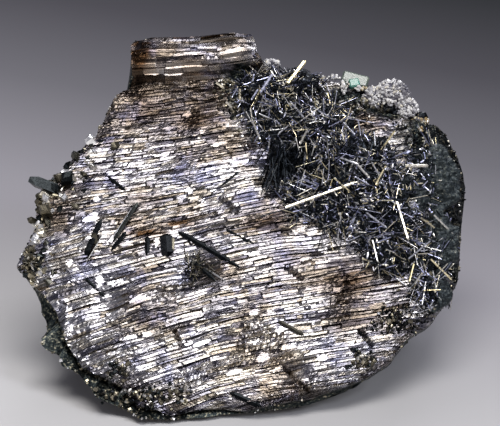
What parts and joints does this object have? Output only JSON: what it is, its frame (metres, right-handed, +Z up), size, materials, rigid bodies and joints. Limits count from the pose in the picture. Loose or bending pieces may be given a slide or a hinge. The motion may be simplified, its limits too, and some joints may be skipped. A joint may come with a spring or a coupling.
{
  "type": "andorite mineral specimen",
  "caption": "Lump of striated metallic andorite with a felt of fine dark needles and a crust of small quartz crystals, for display on a shelf.",
  "frame": {"origin": "middle of the bounding box at the height of the flat underside", "axes": "+Z up, +X along the width of the striated face, -Y towards the viewer that the face leans back from"},
  "size_m": [0.04, 0.0316, 0.0249],
  "materials": {
    "andorite": "steel-grey metallic sulfosalt, finely striated, with bronze and violet tarnish",
    "needles": "blue-black metallic needles with bright edges",
    "quartz": "milky white, sugary, slightly translucent",
    "green_crystal": "pale green, translucent, glassy"
  },
  "bodies": {
    "root": {"andorite_mass": "andorite", "needle_mat": "needles", "quartz_druse": "quartz", "quartz_druse_small": "quartz", "pale_green_crystal": "green_crystal"}
  },
  "joints": []
}
